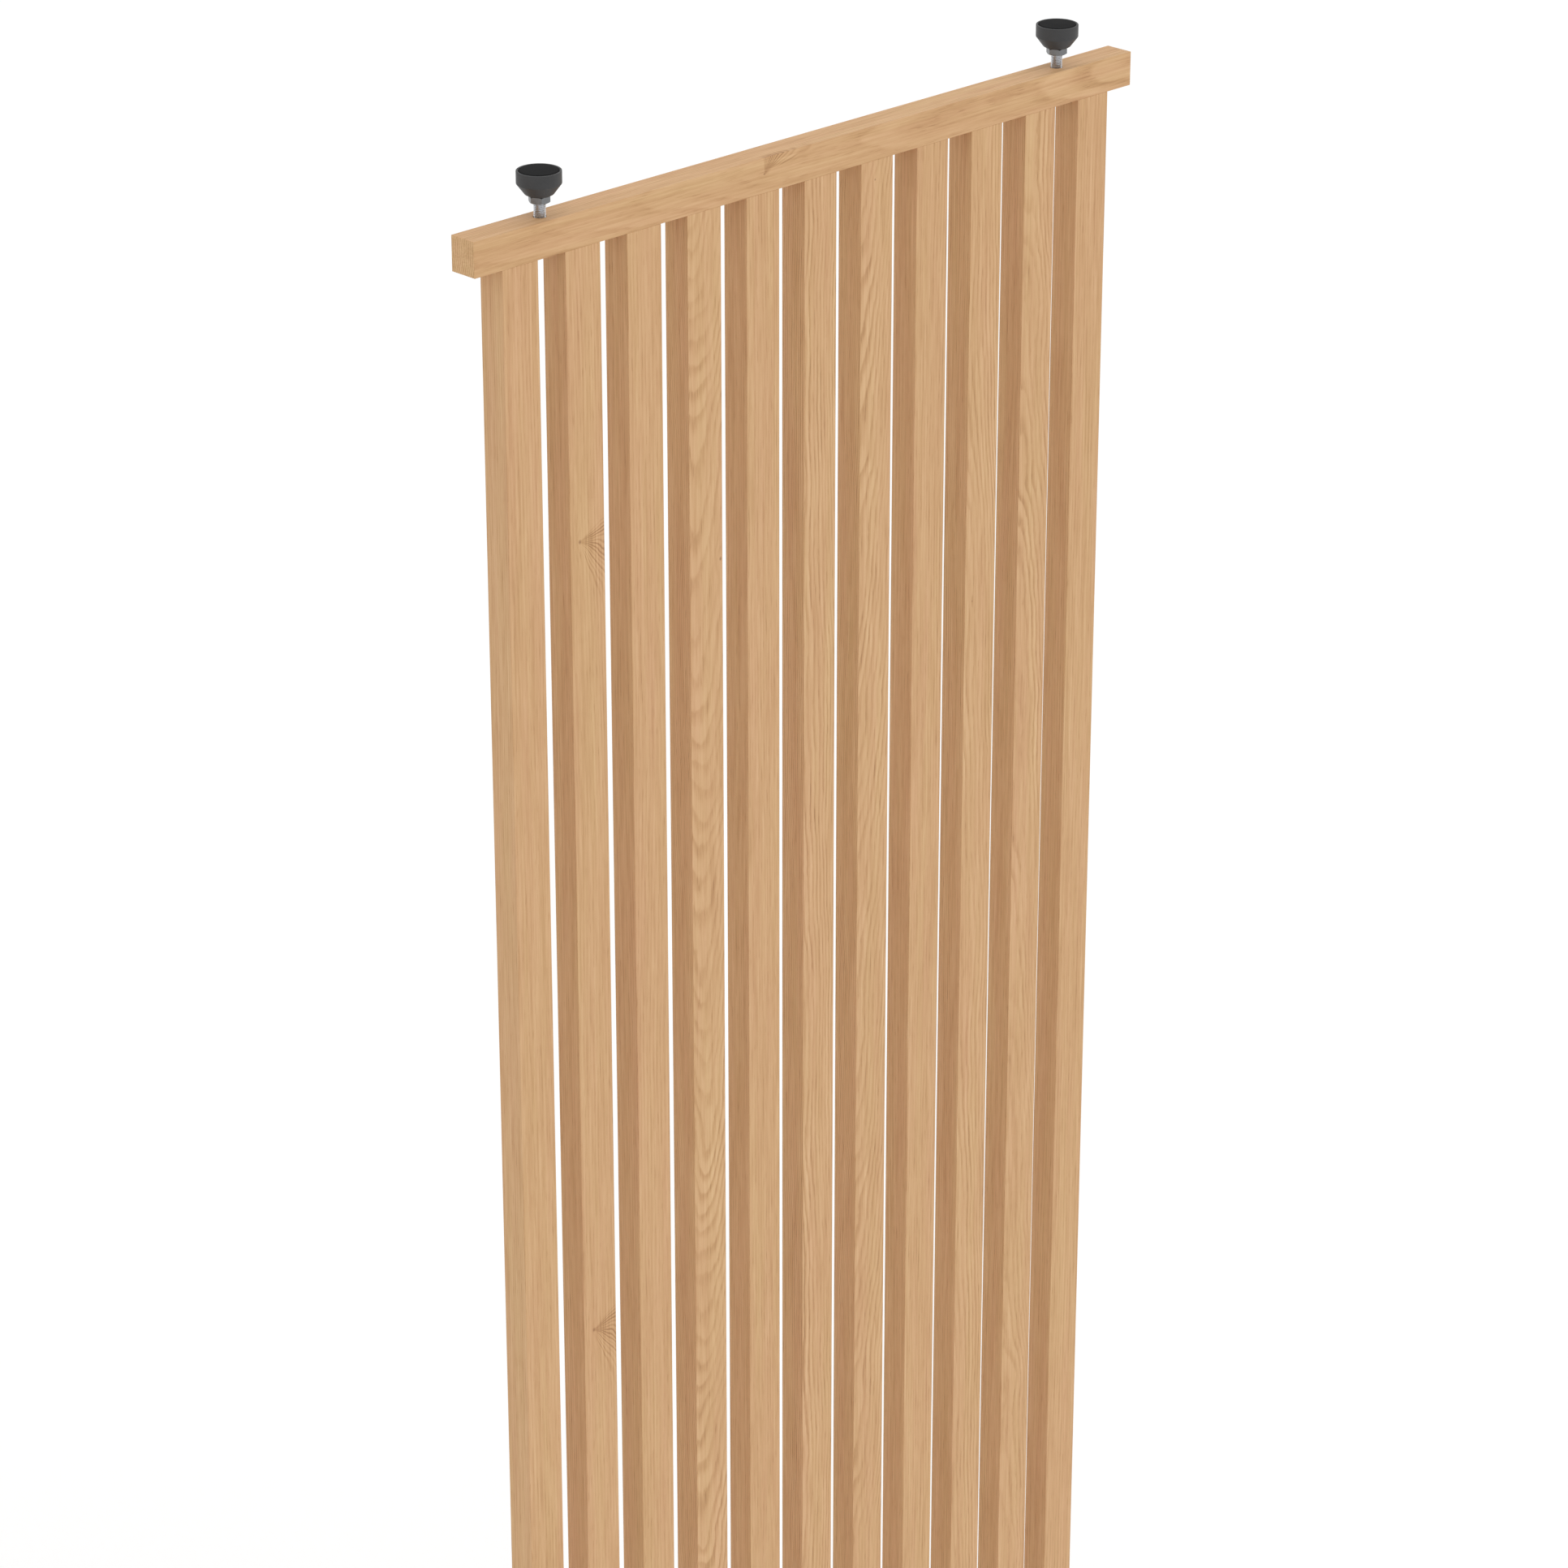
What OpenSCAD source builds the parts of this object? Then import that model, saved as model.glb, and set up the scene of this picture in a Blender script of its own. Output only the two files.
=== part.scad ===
// Wooden slat partition, clamped between floor and ceiling by four screw jacks.
// The origin is on the floor under the middle of the partition.
// X runs along the width, the front faces -Y and Z points up. Units are millimetres.

/* [Frame] */
// Height from the floor to the ceiling
room_h = 2500; // [1600:10:3200]
// Thickness of rails and slats, front to back
board_t = 32; // [26:1:60]
// Height of each rail
rail_h = 36; // [32:1:60]
// Length of each rail, which is the width of the partition
rail_len = 915; // [780:5:1200]
// Length of rail that runs past each end slat
rail_overhang = 35; // [10:1:60]
// Chamfer on the long edges of rails and slats
edge_ease = 0.5; // [0.2:0.1:1]

/* [Slats] */
// Number of slats
slat_n = 11; // [3:1:11]
// Width of each slat
slat_w = 45; // [38:1:54]

/* [Dowels] */
// Diameter of the wooden dowels
dowel_d = 8; // [6:1:10]
// Length of the dowels
dowel_len = 40; // [24:1:46]
// Distance between the two dowels in one slat end
dowel_spacing = 22; // [16:1:24]
// Extra depth of each dowel hole past the dowel
dowel_end_gap = 1; // [0.5:0.5:2]

/* [Jack screw] */
// Diameter of the threaded stud
stud_d = 12; // [8:1:14]
// Length of stud between the rail and the nut, with the jack at its middle setting
stud_show = 14; // [14:1:30]
// Width across the flats of the nut
nut_af = 19; // [17:1:24]
// Height of the nut
nut_h = 7; // [5:1:12]
// Outer diameter of the threaded insert in the rail
insert_d = 16; // [16:1:20]
// Length of the threaded insert
insert_len = 24; // [16:1:28]
// Diameter of the stud's neck that turns in the pad
neck_d = 9; // [6:1:10]
// Length of the neck
neck_len = 5; // [3:1:7]
// Diameter of the knob that snaps into the pad
knob_d = 11; // [11:0.5:13]
// Length of the knob
knob_len = 3; // [2:0.5:4]

/* [Jack pad] */
// Diameter of the pad
pad_d = 44; // [40:1:70]
// Diameter of the pad where it meets the nut
pad_foot_d = 28; // [24:1:36]
// Height of the pad's straight rim
pad_rim_h = 12.5; // [8:0.5:18]
// Height of the pad's cone
pad_cone_h = 12; // [12:0.5:18]
// Wall of the pad around the rubber disc
pad_wall = 2.3; // [1.5:0.1:4]
// Thickness of the rubber disc
grip_t = 5; // [3:0.5:6]
// Height that the rubber disc stands out of the pad
grip_proud = 0.5; // [0.2:0.1:1]

/* [Clearances] */
// Gap all round a turning or sliding fit, and in a glued joint
fit_gap = 0.05; // [0.02:0.01:0.08]
// Gap all round a part that passes freely
free_gap = 0.3; // [0.2:0.05:0.5]

/* [Hidden] */
$fn = 96;
hex_sides = 6;
pitch = (rail_len - 2 * rail_overhang - slat_w) / (slat_n - 1);
pad_h = pad_rim_h + pad_cone_h;
jack_rise = stud_show + nut_h + pad_h + grip_proud;
slat_len = room_h - 2 * jack_rise - 2 * rail_h;
slat_z = jack_rise + rail_h;
dowel_hole_depth = dowel_len / 2 + dowel_end_gap;
jack_x = (slat_n - 2) * pitch / 2;
nut_z = stud_show;
pad_z = nut_z + nut_h;
nut_ac = nut_af / cos(30);
nut_chamfer = (nut_ac - nut_af) / 2;
stud_chamfer = 1;
pad_bend = 2;
cut_past = 1;
oak = "#CFA678";
steel = "#B9BCC0";
black_plastic = "#3A3A3C";
black_rubber = "#242426";

function slat_name(i) = str("slat_", i < 10 ? "0" : "", i);
function slat_x(i) = (i - (slat_n + 1) / 2) * pitch;

// Each jack has a name, a side (-1 is left) and an end (1 is the ceiling)
jacks = [["top_left", -1, 1], ["top_right", 1, 1], ["bottom_left", -1, -1], ["bottom_right", 1, -1]];

// Section of a board with its four long edges eased
module board_section(a, b) {
    e = edge_ease;
    polygon([
        [-a / 2 + e, -b / 2], [a / 2 - e, -b / 2], [a / 2, -b / 2 + e], [a / 2, b / 2 - e],
        [a / 2 - e, b / 2], [-a / 2 + e, b / 2], [-a / 2, b / 2 - e], [-a / 2, -b / 2 + e]
    ]);
}

// Children twice, where the two dowels of one slat end stand
module at_dowel_pair() {
    for (side = [-1, 1]) translate([side * dowel_spacing / 2, 0, 0]) children();
}

// Holes for the dowels of one slat end, to both sides of the joint
module dowel_holes() {
    at_dowel_pair() translate([0, 0, -dowel_hole_depth])
        cylinder(d = dowel_d + 2 * fit_gap, h = 2 * dowel_hole_depth);
}

// Bore for one jack, with the rail's outer face at 0 and the outside above it
module jack_bore() {
    translate([0, 0, -rail_h - cut_past])
        cylinder(d = stud_d + 2 * free_gap, h = rail_h + 2 * cut_past);
    translate([0, 0, -rail_h - cut_past])
        cylinder(d = insert_d + 2 * fit_gap, h = insert_len + cut_past);
}

// Rail seen from its outer face: the face is at 0 and the slats are below it
module rail() {
    difference() {
        translate([-rail_len / 2, 0, -rail_h / 2]) rotate([90, 0, 90])
            linear_extrude(rail_len) board_section(board_t, rail_h);
        for (i = [1 : slat_n]) translate([slat_x(i), 0, -rail_h]) dowel_holes();
        for (side = [-1, 1]) translate([side * jack_x, 0, 0]) jack_bore();
    }
}

// Moves a piece that is drawn from the rail's outer face to the upper (1) or lower (-1) rail
module at_rail(end) {
    if (end > 0)
        translate([0, 0, room_h - jack_rise]) children();
    else
        translate([0, 0, jack_rise]) rotate([180, 0, 0]) children();
}

module top_rail() {
    color(oak) at_rail(1) rail();
}

module bottom_rail() {
    color(oak) at_rail(-1) rail();
}

module slat(i) {
    color(oak) translate([slat_x(i), 0, slat_z]) difference() {
        linear_extrude(slat_len) board_section(slat_w, board_t);
        dowel_holes();
        translate([0, 0, slat_len]) dowel_holes();
    }
}

// Two dowels in each slat end along one rail
module dowels(end) {
    color(oak) at_rail(end) for (i = [1 : slat_n])
        translate([slat_x(i), 0, -rail_h - dowel_len / 2]) at_dowel_pair()
            cylinder(d = dowel_d, h = dowel_len);
}

// Moves a jack piece from the rail's outer face to its place
module at_jack(jack) {
    at_rail(jack[2]) translate([jack[1] * jack_x, 0, 0]) children();
}

// Threaded sleeve, let into the rail from its inner face
module insert(jack) {
    color(steel) at_jack(jack) translate([0, 0, -rail_h]) difference() {
        cylinder(d = insert_d, h = insert_len);
        translate([0, 0, -cut_past]) cylinder(d = stud_d + 2 * fit_gap, h = insert_len + 2 * cut_past);
    }
}

// Threaded stud with a neck and a snap knob that turn inside the pad
module stud(jack) {
    r = stud_d / 2;
    knob_z = pad_z + neck_len;
    color(steel) at_jack(jack) rotate_extrude() polygon([
        [0, -rail_h], [r - stud_chamfer, -rail_h], [r, -rail_h + stud_chamfer], [r, pad_z],
        [neck_d / 2, pad_z], [neck_d / 2, knob_z], [knob_d / 2, knob_z],
        [knob_d / 2, knob_z + knob_len - stud_chamfer],
        [knob_d / 2 - stud_chamfer, knob_z + knob_len], [0, knob_z + knob_len]
    ]);
}

// Thin hexagon nut, locked on the stud against the pad
module nut(jack) {
    c = nut_chamfer * tan(30);
    r = nut_ac / 2;
    color(steel) at_jack(jack) translate([0, 0, nut_z]) difference() {
        intersection() {
            cylinder(d = nut_ac, h = nut_h, $fn = hex_sides);
            rotate_extrude() polygon([
                [0, 0], [r - nut_chamfer, 0], [r, c], [r, nut_h - c], [r - nut_chamfer, nut_h], [0, nut_h]
            ]);
        }
        translate([0, 0, -cut_past]) cylinder(d = stud_d + 2 * fit_gap, h = nut_h + 2 * cut_past);
    }
}

// Plastic cup that takes the load, with a snap socket below and a pocket for the rubber
module pad(jack) {
    foot_r = pad_foot_d / 2;
    rim_r = pad_d / 2;
    pocket_r = rim_r - pad_wall;
    pocket_z = pad_h + grip_proud - grip_t;
    socket_r = neck_d / 2 + fit_gap;
    room_r = knob_d / 2 + free_gap;
    room_top = neck_len + knob_len + free_gap;
    color(black_plastic) at_jack(jack) translate([0, 0, pad_z]) rotate_extrude() polygon([
        [socket_r, 0], [foot_r - pad_bend, 0], [foot_r, pad_bend / 2], [rim_r, pad_cone_h],
        [rim_r, pad_h], [pocket_r, pad_h], [pocket_r, pocket_z], [0, pocket_z],
        [0, room_top], [room_r, room_top], [room_r, neck_len - free_gap],
        [socket_r, neck_len - free_gap]
    ]);
}

// Rubber disc that presses on the floor or the ceiling
module grip(jack) {
    color(black_rubber) at_jack(jack) translate([0, 0, pad_z + pad_h + grip_proud - grip_t])
        cylinder(d = pad_d - 2 * pad_wall - 2 * fit_gap, h = grip_t);
}

top_rail();
bottom_rail();
for (i = [1 : slat_n]) slat(i);
dowels(1);  // top_dowels
dowels(-1);  // bottom_dowels
for (jack = jacks) {
    insert(jack);
    stud(jack);
    nut(jack);
    pad(jack);
    grip(jack);
}
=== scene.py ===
# Wooden slat partition: oak boards between two rails, on four threaded jacks with black pads.
import bpy
import bmesh
import math
from mathutils import Matrix, Vector


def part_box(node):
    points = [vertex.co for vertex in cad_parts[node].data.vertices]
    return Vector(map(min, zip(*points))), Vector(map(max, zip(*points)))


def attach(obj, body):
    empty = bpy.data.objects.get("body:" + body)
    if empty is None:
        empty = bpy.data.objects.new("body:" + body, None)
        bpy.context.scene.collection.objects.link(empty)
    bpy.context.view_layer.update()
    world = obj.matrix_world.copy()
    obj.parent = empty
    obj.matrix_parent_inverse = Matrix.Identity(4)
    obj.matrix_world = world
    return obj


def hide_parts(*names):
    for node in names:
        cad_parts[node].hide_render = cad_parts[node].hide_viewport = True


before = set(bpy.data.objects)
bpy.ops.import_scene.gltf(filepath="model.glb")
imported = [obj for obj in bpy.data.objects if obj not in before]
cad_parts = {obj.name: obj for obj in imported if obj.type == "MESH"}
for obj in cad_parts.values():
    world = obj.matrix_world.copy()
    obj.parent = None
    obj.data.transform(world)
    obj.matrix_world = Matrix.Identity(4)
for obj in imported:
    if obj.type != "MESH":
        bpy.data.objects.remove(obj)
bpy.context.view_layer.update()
scene = bpy.context.scene
MM = 0.001

# Sizes of the partition in metres, with a jack's heights measured from the rail's outer face
RAIL_H = 36 * MM
SLATS = 11
SLAT_PITCH = 80 * MM
FIRST_SLAT_X = -400 * MM
DOWEL_HOLE_R = 4.05 * MM
DOWEL_HOLE_DEEP = 21 * MM
DOWEL_SPACING = 22 * MM
DOWELS_PER_END = 2
JACK_X = 360 * MM
JACKS_PER_RAIL = 2
STUD_R = 6 * MM
STUD_BORE_R = 6.3 * MM
STUD_CHAMFER = 1 * MM
THREAD_PITCH = 1.75 * MM
THREAD_ROOT_R = 4.93 * MM
SLEEVE_BORE_R = 8.05 * MM
SLEEVE_LEN = 24 * MM
NUT_Z = 14 * MM
NUT_H = 7 * MM
NUT_AF = 19 * MM
NUT_BORE_R = 6.05 * MM
PAD_Z = 21 * MM
PAD_POCKET_Z = 20 * MM
GRIP_Z = PAD_Z + PAD_POCKET_Z
TURN_GAP = 0.05 * MM
JACKS = {
    "top_left": (-JACK_X, 1),
    "top_right": (JACK_X, 1),
    "bottom_left": (-JACK_X, -1),
    "bottom_right": (JACK_X, -1),
}
SLAT_NAMES = [f"slat_{i:02d}" for i in range(1, SLATS + 1)]
RIGHT_ANGLE = math.radians(90)
NO_TURN = (0.0, 0.0, 0.0)


# Camera at the photograph's viewing angle
PHOTO_PIXELS = 1932
SENSOR_MM = 36
CAMERA_PIXELS = 6479
CAMERA_PLACE = (-3.5416, -3.5617, 3.9779)
CAMERA_YAW = 44.55
CAMERA_PITCH = 23.88
CAMERA_REACH = 200
camera_data = bpy.data.cameras.new("photo_camera")
camera_data.sensor_width = SENSOR_MM
camera_data.lens = CAMERA_PIXELS / PHOTO_PIXELS * SENSOR_MM
camera_data.clip_end = CAMERA_REACH
camera = bpy.data.objects.new("photo_camera", camera_data)
camera.location = CAMERA_PLACE
camera.rotation_euler = (RIGHT_ANGLE - math.radians(CAMERA_PITCH), 0, math.radians(-CAMERA_YAW))
scene.collection.objects.link(camera)
scene.camera = camera
scene.view_settings.view_transform = "Standard"


# Node helpers, with the places of the colour sockets on a mix node
MIX_LOW = 6
MIX_HIGH = 7
MIX_RESULT = 2
NOISE_MEAN = 0.5


def add(tree, kind, inputs=(), **settings):
    made = tree.nodes.new(kind)
    for name, value in settings.items():
        setattr(made, name, value)
    pairs = inputs.items() if isinstance(inputs, dict) else enumerate(inputs)
    for key, value in pairs:
        if isinstance(value, bpy.types.NodeSocket):
            tree.links.new(value, made.inputs[key])
        else:
            made.inputs[key].default_value = value
    return made


def calc(tree, operation, *values):
    return add(tree, "ShaderNodeMath", values, operation=operation).outputs[0]


def times(tree, product, *factors):
    for factor in factors:
        product = calc(tree, "MULTIPLY", product, factor)
    return product


def vector(tree, operation, *values):
    made = add(tree, "ShaderNodeVectorMath", values, operation=operation)
    return made.outputs["Value" if operation == "LENGTH" else "Vector"]


def split(tree, place):
    return add(tree, "ShaderNodeSeparateXYZ", (place,)).outputs


def joined(tree, *parts):
    return add(tree, "ShaderNodeCombineXYZ", parts).outputs[0]


def ramp(tree, value, from_low, from_high, to_low=0.0, to_high=1.0, smooth=True):
    kind = "SMOOTHSTEP" if smooth else "LINEAR"
    values = (value, from_low, from_high, to_low, to_high)
    return add(tree, "ShaderNodeMapRange", values, interpolation_type=kind).outputs[0]


def noise(tree, place, stretch, seed, detail=2.0, roughness=0.5):
    moved = add(tree, "ShaderNodeMapping", {"Vector": place, "Location": seed, "Scale": stretch})
    inputs = {"Vector": moved.outputs[0], "Scale": 1.0, "Detail": detail, "Roughness": roughness}
    return add(tree, "ShaderNodeTexNoise", inputs)


def mix(tree, share, low, high):
    inputs = {"Factor": share, MIX_LOW: low, MIX_HIGH: high}
    return add(tree, "ShaderNodeMix", inputs, data_type="RGBA").outputs[MIX_RESULT]


def facing(tree, axis):
    # How squarely a face looks along an axis of the piece
    normal = add(tree, "ShaderNodeTexCoord").outputs["Normal"]
    return calc(tree, "ABSOLUTE", split(tree, normal)[axis])


def new_material(name):
    paint = bpy.data.materials.new(name)
    paint.use_nodes = True
    paint.node_tree.nodes.clear()
    return paint, paint.node_tree


def surface(tree, shader):
    add(tree, "ShaderNodeOutputMaterial", {"Surface": shader.outputs[0]})


# Lights, world and floor
WHITE = (1, 1, 1, 1)
WORLD_LEVEL = 0.9
SUN_LEVEL = 0.45
SUN_SOFTNESS = 40
SUN_FROM = Vector((0.25, -0.70, 0.68))
FLOOR_HALF = 60
FLOOR_COLOUR = (0.86, 0.86, 0.86, 1)
FLOOR_LIFT = 0.17


def seen_ray(tree):
    path = add(tree, "ShaderNodeLightPath").outputs
    seen = calc(tree, "MAXIMUM", path["Is Camera Ray"], path["Is Glossy Ray"])
    return calc(tree, "MAXIMUM", seen, path["Is Transmission Ray"])


def make_world():
    world = bpy.data.worlds.new("white_room")
    world.use_nodes = True
    tree = world.node_tree
    tree.nodes.clear()
    level = ramp(tree, seen_ray(tree), 0.0, 1.0, WORLD_LEVEL, 1.0, smooth=False)
    sky = add(tree, "ShaderNodeBackground", {"Color": WHITE, "Strength": level})
    add(tree, "ShaderNodeOutputWorld", {"Surface": sky.outputs[0]})
    scene.world = world


def make_sun():
    lamp = bpy.data.lights.new("soft_key", "SUN")
    lamp.energy = SUN_LEVEL
    lamp.angle = math.radians(SUN_SOFTNESS)
    sun = bpy.data.objects.new("soft_key", lamp)
    sun.rotation_euler = SUN_FROM.to_track_quat("Z", "Y").to_euler()
    scene.collection.objects.link(sun)


def make_floor():
    corners = [(-1, -1), (1, -1), (1, 1), (-1, 1)]
    points = [(x * FLOOR_HALF, y * FLOOR_HALF, 0) for x, y in corners]
    mesh = bpy.data.meshes.new("floor")
    mesh.from_pydata(points, [], [range(len(points))])
    floor = bpy.data.objects.new("floor", mesh)
    scene.collection.objects.link(floor)
    paint, tree = new_material("floor_paper")
    paper = add(tree, "ShaderNodeBsdfDiffuse", {"Color": FLOOR_COLOUR})
    lift = calc(tree, "MULTIPLY", seen_ray(tree), FLOOR_LIFT)
    glow = add(tree, "ShaderNodeEmission", {"Color": WHITE, "Strength": lift})
    surface(tree, add(tree, "ShaderNodeAddShader", (paper.outputs[0], glow.outputs[0])))
    mesh.materials.append(paint)


make_world()
make_sun()
make_floor()


# Materials: a knot bends the growth rings round itself and has a dark core
KNOT_COLOUR = (0.30, 0.150, 0.072, 1)
KNOT_REACH = 3.0
KNOT_STRETCH = 2.4
KNOT_FALL = -0.7
KNOT_PUSH = 0.85
KNOT_SWELL = 0.5
CORE_STRETCH = 0.75
CORE_EDGES = (1.3, 0.2)
CORE_STRENGTH = 0.75


def knot_push(tree, place, knot):
    # A knot is written as (across, size, along)
    spot = split(tree, knot)
    here = split(tree, place)
    across = calc(tree, "SUBTRACT", here[0], spot[0])
    along = calc(tree, "SUBTRACT", here[2], spot[2])
    reach = calc(tree, "MULTIPLY", spot[1], KNOT_REACH)
    aside = calc(tree, "DIVIDE", across, reach)
    ahead = calc(tree, "DIVIDE", along, calc(tree, "MULTIPLY", reach, KNOT_STRETCH))
    square = calc(tree, "ADD", times(tree, aside, aside), times(tree, ahead, ahead))
    fall = calc(tree, "EXPONENT", calc(tree, "MULTIPLY", square, KNOT_FALL))
    push = times(tree, times(tree, aside, fall), times(tree, reach, KNOT_PUSH))
    swell = times(tree, fall, times(tree, reach, KNOT_SWELL))
    flat = joined(tree, across, 0.0, calc(tree, "MULTIPLY", along, CORE_STRETCH))
    distance = calc(tree, "DIVIDE", vector(tree, "LENGTH", flat), spot[1])
    core = calc(tree, "MULTIPLY", ramp(tree, distance, *CORE_EDGES), CORE_STRENGTH)
    return {"push": push, "swell": swell, "core": core, "across": across, "along": along, "behind": here[1]}


# Materials: a branch cut lengthwise shows rays from its knot to the board's right edge, over a darker wedge
FRONT_SKIN = (-7 * MM, -14 * MM)
FAN_TIP = 1.5 * MM
FAN_STEP = 0.125
BOW_REACH = 30 * MM
BOW_DEPTH = 9 * MM
BOW_FADE = (5 * MM, -25 * MM)
WOBBLE_STRETCH = (70.0, 70.0, 40.0)
WOBBLE_DEPTH = 0.22
RAY_FALL = (0.0, 0.5, 1.0, 0.0)
RAY_RISE = (0.75, 1.0)
RAY_STRETCH = (9.0, 1.0, 1.0)
RAY_STRENGTH = (0.3, 0.65, 0.35, 1.0)
RAYS_UPPER_SIDE = (0.65, 0.25)
RAYS_LOWER_SIDE = (-1.42, -1.0)
RAYS_START = (1 * MM, 9 * MM)
RAYS_UP = (40 * MM, 15 * MM)
RAYS_DOWN = (-80 * MM, -15 * MM)
WEDGE_UPPER_SIDE = (0.6, 0.2)
WEDGE_LOWER_SIDE = (-0.85, -0.35)
WEDGE_START = (-2 * MM, 2 * MM)
WEDGE_FADE = (26 * MM, 5 * MM, 0.4, 1.0)
WEDGE_END = (40 * MM, 30 * MM)


def branch_fan(tree, place, seed, knot, share, lean):
    across, along = knot["across"], knot["along"]
    level = calc(tree, "DIVIDE", across, BOW_REACH)
    bow = times(tree, times(tree, level, level), BOW_DEPTH)
    low = calc(tree, "ADD", along, times(tree, bow, ramp(tree, along, *BOW_FADE)))
    wobble = noise(tree, place, WOBBLE_STRETCH, seed, detail=1.0).outputs["Fac"]
    wobble = times(tree, calc(tree, "SUBTRACT", wobble, NOISE_MEAN), WOBBLE_DEPTH)
    bearing = calc(tree, "ARCTAN2", low, calc(tree, "ADD", across, FAN_TIP))
    bearing = calc(tree, "ADD", calc(tree, "ADD", bearing, wobble), lean)
    turn = calc(tree, "FRACT", calc(tree, "DIVIDE", bearing, FAN_STEP))
    rays = calc(tree, "ADD", ramp(tree, turn, *RAY_FALL), ramp(tree, turn, *RAY_RISE))
    strength = noise(tree, joined(tree, bearing, 0.0, 0.0), RAY_STRETCH, seed, detail=0.0).outputs["Fac"]
    rays = times(tree, rays, ramp(tree, strength, *RAY_STRENGTH))
    # The branch lies just under the front face, and its rays reach further down than up
    share = times(tree, share, ramp(tree, knot["behind"], *FRONT_SKIN))
    inside = times(
        tree,
        ramp(tree, bearing, *RAYS_UPPER_SIDE),
        ramp(tree, bearing, *RAYS_LOWER_SIDE),
        ramp(tree, across, *RAYS_START),
        ramp(tree, along, *RAYS_UP),
        ramp(tree, along, *RAYS_DOWN, smooth=False),
        share,
    )
    wedge = times(
        tree,
        ramp(tree, bearing, *WEDGE_UPPER_SIDE),
        ramp(tree, bearing, *WEDGE_LOWER_SIDE),
        ramp(tree, across, *WEDGE_START),
        ramp(tree, across, *WEDGE_FADE),
        ramp(tree, across, *WEDGE_END),
        share,
    )
    return rays, inside, wedge


# Materials: oak, with growth rings, fibres and pores. A stretch gives a pattern's fineness across and along.
OAK_INPUTS = (
    ("Place", "NodeSocketVector"),
    ("Pith", "NodeSocketVector"),
    ("Taper", "NodeSocketFloat"),
    ("Wave", "NodeSocketFloat"),
    ("Seed", "NodeSocketVector"),
    ("Knot A", "NodeSocketVector"),
    ("Knot B", "NodeSocketVector"),
    ("Fan", "NodeSocketFloat"),
    ("Fan Lean", "NodeSocketFloat"),
    ("End Grain", "NodeSocketFloat"),
    ("Ring Depth", "NodeSocketFloat"),
)
BEND_STRETCH = (0.0, 0.0, 1.3)
BEND_DEPTH = (0.02, 0.02, 0.0)
WAVE_STRETCH = (12.0, 12.0, 5.0)
WAVE_DETAIL = 1.5
RIPPLE_STRETCH = (60.0, 60.0, 26.0)
RIPPLE_DETAIL = 3.0
RIPPLE_ROUGHNESS = 0.6
RIPPLE_SHARE = 0.15
RING_WIDTH = 2.7 * MM
RING_FALL = (0.0, 0.55, 1.0, 0.0)
RING_RISE = (0.8, 1.0)
RING_LEVEL = 0.45
YEAR_STRETCH = (120.0, 1.0, 1.0)
YEAR_DEPTH = (0.3, 0.7, 0.5, 1.5)
PATCH_STRETCH = (30.0, 30.0, 4.0)
PATCH_DEPTH = (-0.15, 0.15, 0.5, 1.5)
FIBRE_STRETCH = (480.0, 480.0, 15.0)
FIBRE_DETAIL = 3.0
FIBRE_ROUGHNESS = 0.66
FIBRE_SHARE = 0.74
FIBRE_RELIEF = 0.6
STREAKS = (((270.0, 270.0, 9.0), 0.5), ((50.0, 50.0, 2.5), 0.2))
PORE_STRETCH = (1050.0, 1050.0, 48.0)
PORE_EDGES = (0.55, 0.7)
PORES_IN_RING = (0.1, 0.8, 0.4, 1.0)
PORE_SHARE = 0.22
RAY_LEVEL = 0.12
RAY_SHARE = 0.62
WEDGE_SHARE = -0.26
TONE_LEVEL = 0.52
TINT_STRETCH = (70.0, 70.0, 4.0)
SLOW_TINT_STRETCH = (9.0, 9.0, 1.5)
SLOW_TINT_SHARE = 0.2
END_GRAIN_RINGS = 0.25
END_GRAIN_TONE = 0.03
END_GRAIN_TINT = 0.2


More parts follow.
